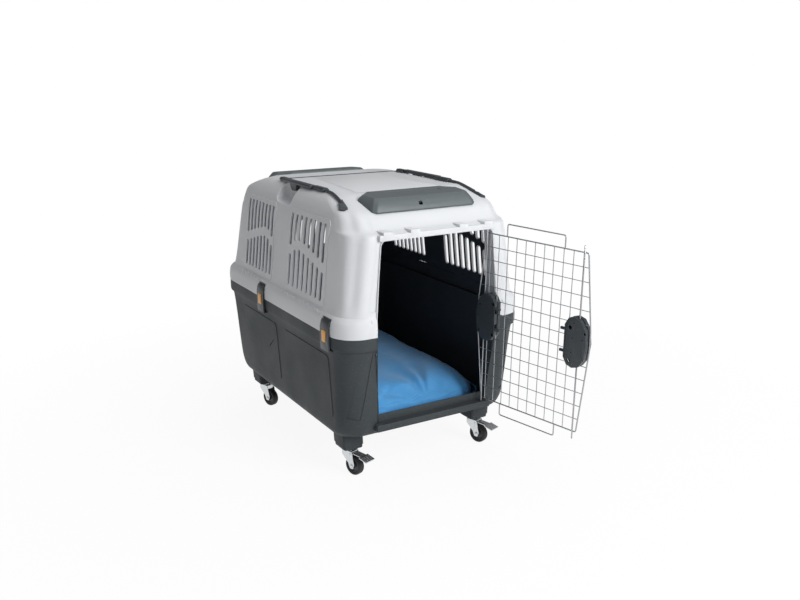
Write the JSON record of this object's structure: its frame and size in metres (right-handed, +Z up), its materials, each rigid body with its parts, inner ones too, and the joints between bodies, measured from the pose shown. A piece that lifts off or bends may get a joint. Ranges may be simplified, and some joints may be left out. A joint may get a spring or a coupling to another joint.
{
  "type": "pet travel crate",
  "caption": "Two-part plastic pet carrier with a wire door, flip-up carry grips, roof lockers, side clips, a floor cushion and swivel casters",
  "frame": {"origin": "on the floor, under the middle of the crate's box with the door open", "axes": "+Z up, -Y out of the door end, +X towards the side that the door hangs on"},
  "size_m": [0.6466, 1.265, 0.8378],
  "materials": {
    "shell_grey": "smooth light grey moulding",
    "tub_grey": "fine matt dark grey moulding",
    "lid_grey": "matt mid grey moulding",
    "black_plastic": "satin blue-black moulding",
    "orange_plastic": "smooth orange moulding",
    "steel_wire": "drawn and welded wire",
    "zinc_plate": "bright zinc plating",
    "black_rubber": "plain black tread",
    "blue_cloth": "woven light blue cover"
  },
  "bodies": {
    "crate_body": {"base_tub": "tub_grey", "top_shell": "shell_grey", "floor_cushion": "blue_cloth", "rear_roof_rail": "black_plastic", "left_front_roof_rail": "black_plastic", "right_front_roof_rail": "black_plastic", "caster_front_left_stem": "zinc_plate", "caster_front_right_stem": "zinc_plate", "caster_rear_left_stem": "zinc_plate", "caster_rear_right_stem": "zinc_plate"},
    "left_carry_grip": {"left_carry_grip": "black_plastic"},
    "clip_left_front": {"clip_left_front": "black_plastic"},
    "clip_button_left_front": {"clip_button_left_front": "orange_plastic"},
    "clip_left_rear": {"clip_left_rear": "black_plastic"},
    "clip_button_left_rear": {"clip_button_left_rear": "orange_plastic"},
    "right_carry_grip": {"right_carry_grip": "black_plastic"},
    "clip_right_front": {"clip_right_front": "black_plastic"},
    "clip_button_right_front": {"clip_button_right_front": "orange_plastic"},
    "clip_right_rear": {"clip_right_rear": "black_plastic"},
    "clip_button_right_rear": {"clip_button_right_rear": "orange_plastic"},
    "front_lid": {"front_lid": "lid_grey"},
    "rear_lid": {"rear_lid": "lid_grey"},
    "door": {"wire_door": "steel_wire", "hinge_latch_inner_cover": "black_plastic", "hinge_latch_outer_cover": "black_plastic", "hinge_latch_spring": "steel_wire", "free_latch_inner_cover": "black_plastic", "free_latch_outer_cover": "black_plastic", "free_latch_spring": "steel_wire"},
    "hinge_upper_bolt": {"hinge_upper_slider": "black_plastic", "hinge_upper_rod": "steel_wire"},
    "hinge_lower_bolt": {"hinge_lower_slider": "black_plastic", "hinge_lower_rod": "steel_wire"},
    "free_upper_bolt": {"free_upper_slider": "black_plastic", "free_upper_rod": "steel_wire"},
    "free_lower_bolt": {"free_lower_slider": "black_plastic", "free_lower_rod": "steel_wire"},
    "caster_front_left_swivel": {"caster_front_left_fork": "zinc_plate", "caster_front_left_axle": "zinc_plate"},
    "caster_front_left_wheel": {"caster_front_left_hub": "black_plastic", "caster_front_left_tyre": "black_rubber"},
    "caster_front_left_pedal": {"caster_front_left_brake_pedal": "zinc_plate"},
    "caster_front_right_swivel": {"caster_front_right_fork": "zinc_plate", "caster_front_right_axle": "zinc_plate"},
    "caster_front_right_wheel": {"caster_front_right_hub": "black_plastic", "caster_front_right_tyre": "black_rubber"},
    "caster_front_right_pedal": {"caster_front_right_brake_pedal": "zinc_plate"},
    "caster_rear_left_swivel": {"caster_rear_left_fork": "zinc_plate", "caster_rear_left_axle": "zinc_plate"},
    "caster_rear_left_wheel": {"caster_rear_left_hub": "black_plastic", "caster_rear_left_tyre": "black_rubber"},
    "caster_rear_right_swivel": {"caster_rear_right_fork": "zinc_plate", "caster_rear_right_axle": "zinc_plate"},
    "caster_rear_right_wheel": {"caster_rear_right_hub": "black_plastic", "caster_rear_right_tyre": "black_rubber"}
  },
  "joints": [
    {"name": "left_carry_grip_hinge", "type": "hinge", "parent": "crate_body", "child": "left_carry_grip", "pos_m": [-0.2145, 0.1655, 0.831], "axis": [0, 1, 0], "range_deg": [0, 80]},
    {"name": "clip_left_front_hinge", "type": "hinge", "parent": "crate_body", "child": "clip_left_front", "pos_m": [-0.309, -0.1875, 0.4945], "axis": [0, 1, 0], "range_deg": [0, 100]},
    {"name": "clip_button_left_front_press", "type": "slide", "parent": "clip_left_front", "child": "clip_button_left_front", "axis": [1, 0, 0], "range_m": [0, 0.0018], "stiffness_N_per_m": 500, "springref_m": -0.0005},
    {"name": "clip_left_rear_hinge", "type": "hinge", "parent": "crate_body", "child": "clip_left_rear", "pos_m": [-0.309, 0.2785, 0.4945], "axis": [0, 1, 0], "range_deg": [0, 100]},
    {"name": "clip_button_left_rear_press", "type": "slide", "parent": "clip_left_rear", "child": "clip_button_left_rear", "axis": [1, 0, 0], "range_m": [0, 0.0018], "stiffness_N_per_m": 500, "springref_m": -0.0005},
    {"name": "right_carry_grip_hinge", "type": "hinge", "parent": "crate_body", "child": "right_carry_grip", "pos_m": [0.2145, 0.1655, 0.831], "axis": [0, -1, 0], "range_deg": [0, 80]},
    {"name": "clip_right_front_hinge", "type": "hinge", "parent": "crate_body", "child": "clip_right_front", "pos_m": [0.309, -0.1875, 0.4945], "axis": [0, -1, 0], "range_deg": [0, 100]},
    {"name": "clip_button_right_front_press", "type": "slide", "parent": "clip_right_front", "child": "clip_button_right_front", "axis": [-1, 0, 0], "range_m": [0, 0.0018], "stiffness_N_per_m": 500, "springref_m": -0.0005},
    {"name": "clip_right_rear_hinge", "type": "hinge", "parent": "crate_body", "child": "clip_right_rear", "pos_m": [0.309, 0.2785, 0.4945], "axis": [0, -1, 0], "range_deg": [0, 100]},
    {"name": "clip_button_right_rear_press", "type": "slide", "parent": "clip_right_rear", "child": "clip_button_right_rear", "axis": [-1, 0, 0], "range_m": [0, 0.0018], "stiffness_N_per_m": 500, "springref_m": -0.0005},
    {"name": "front_lid_hinge", "type": "hinge", "parent": "crate_body", "child": "front_lid", "pos_m": [0, -0.0875, 0.826], "axis": [-1, 0, 0], "range_deg": [0, 75]},
    {"name": "rear_lid_hinge", "type": "hinge", "parent": "crate_body", "child": "rear_lid", "pos_m": [0, 0.4325, 0.826], "axis": [1, 0, 0], "range_deg": [0, 75]},
    {"name": "door_hinge", "type": "hinge", "parent": "crate_body", "child": "door", "pos_m": [0.168, -0.27361, 0.46], "axis": [0, -0.0223, 0.9998], "range_deg": [-103, 20]},
    {"name": "hinge_upper_bolt_slide", "type": "slide", "parent": "door", "child": "hinge_upper_bolt", "axis": [0, 0.0223, -0.9998], "range_m": [0, 0.012], "stiffness_N_per_m": 150, "springref_m": -0.004, "deforming": ["hinge_latch_spring"]},
    {"name": "hinge_lower_bolt_slide", "type": "slide", "parent": "door", "child": "hinge_lower_bolt", "axis": [0, -0.0223, 0.9998], "range_m": [0, 0.012], "stiffness_N_per_m": 150, "springref_m": -0.004},
    {"name": "free_upper_bolt_slide", "type": "slide", "parent": "door", "child": "free_upper_bolt", "axis": [0, 0.0223, -0.9998], "range_m": [0, 0.012], "stiffness_N_per_m": 150, "springref_m": -0.004, "deforming": ["free_latch_spring"]},
    {"name": "free_lower_bolt_slide", "type": "slide", "parent": "door", "child": "free_lower_bolt", "axis": [0, -0.0223, 0.9998], "range_m": [0, 0.012], "stiffness_N_per_m": 150, "springref_m": -0.004},
    {"name": "caster_front_left_swivel_turn", "type": "hinge", "parent": "crate_body", "child": "caster_front_left_swivel", "pos_m": [-0.2275, -0.1475, 0.08], "axis": [0, 0, 1], "continuous": true},
    {"name": "caster_front_left_wheel_spin", "type": "hinge", "parent": "caster_front_left_swivel", "child": "caster_front_left_wheel", "pos_m": [-0.22008, -0.17033, 0.03], "axis": [0.9511, 0.309, 0], "continuous": true},
    {"name": "caster_front_left_pedal_tilt", "type": "hinge", "parent": "caster_front_left_swivel", "child": "caster_front_left_pedal", "pos_m": [-0.22194, -0.16462, 0.0675], "axis": [0.9511, 0.309, 0], "range_deg": [0, 5]},
    {"name": "caster_front_right_swivel_turn", "type": "hinge", "parent": "crate_body", "child": "caster_front_right_swivel", "pos_m": [0.2275, -0.1475, 0.08], "axis": [0, 0, 1], "continuous": true},
    {"name": "caster_front_right_wheel_spin", "type": "hinge", "parent": "caster_front_right_swivel", "child": "caster_front_right_wheel", "pos_m": [0.23492, -0.17033, 0.03], "axis": [0.9511, 0.309, 0], "continuous": true},
    {"name": "caster_front_right_pedal_tilt", "type": "hinge", "parent": "caster_front_right_swivel", "child": "caster_front_right_pedal", "pos_m": [0.23306, -0.16462, 0.0675], "axis": [0.9511, 0.309, 0], "range_deg": [0, 5]},
    {"name": "caster_rear_left_swivel_turn", "type": "hinge", "parent": "crate_body", "child": "caster_rear_left_swivel", "pos_m": [-0.2275, 0.4925, 0.08], "axis": [0, 0, 1], "continuous": true},
    {"name": "caster_rear_left_wheel_spin", "type": "hinge", "parent": "caster_rear_left_swivel", "child": "caster_rear_left_wheel", "pos_m": [-0.22008, 0.46968, 0.03], "axis": [0.9511, 0.309, 0], "continuous": true},
    {"name": "caster_rear_right_swivel_turn", "type": "hinge", "parent": "crate_body", "child": "caster_rear_right_swivel", "pos_m": [0.2275, 0.4925, 0.08], "axis": [0, 0, 1], "continuous": true},
    {"name": "caster_rear_right_wheel_spin", "type": "hinge", "parent": "caster_rear_right_swivel", "child": "caster_rear_right_wheel", "pos_m": [0.23492, 0.46968, 0.03], "axis": [0.9511, 0.309, 0], "continuous": true}
  ],
  "couplings": [
    {"joint": "hinge_lower_bolt_slide", "follows": "hinge_upper_bolt_slide", "ratio": 1},
    {"joint": "free_lower_bolt_slide", "follows": "free_upper_bolt_slide", "ratio": 1}
  ]
}
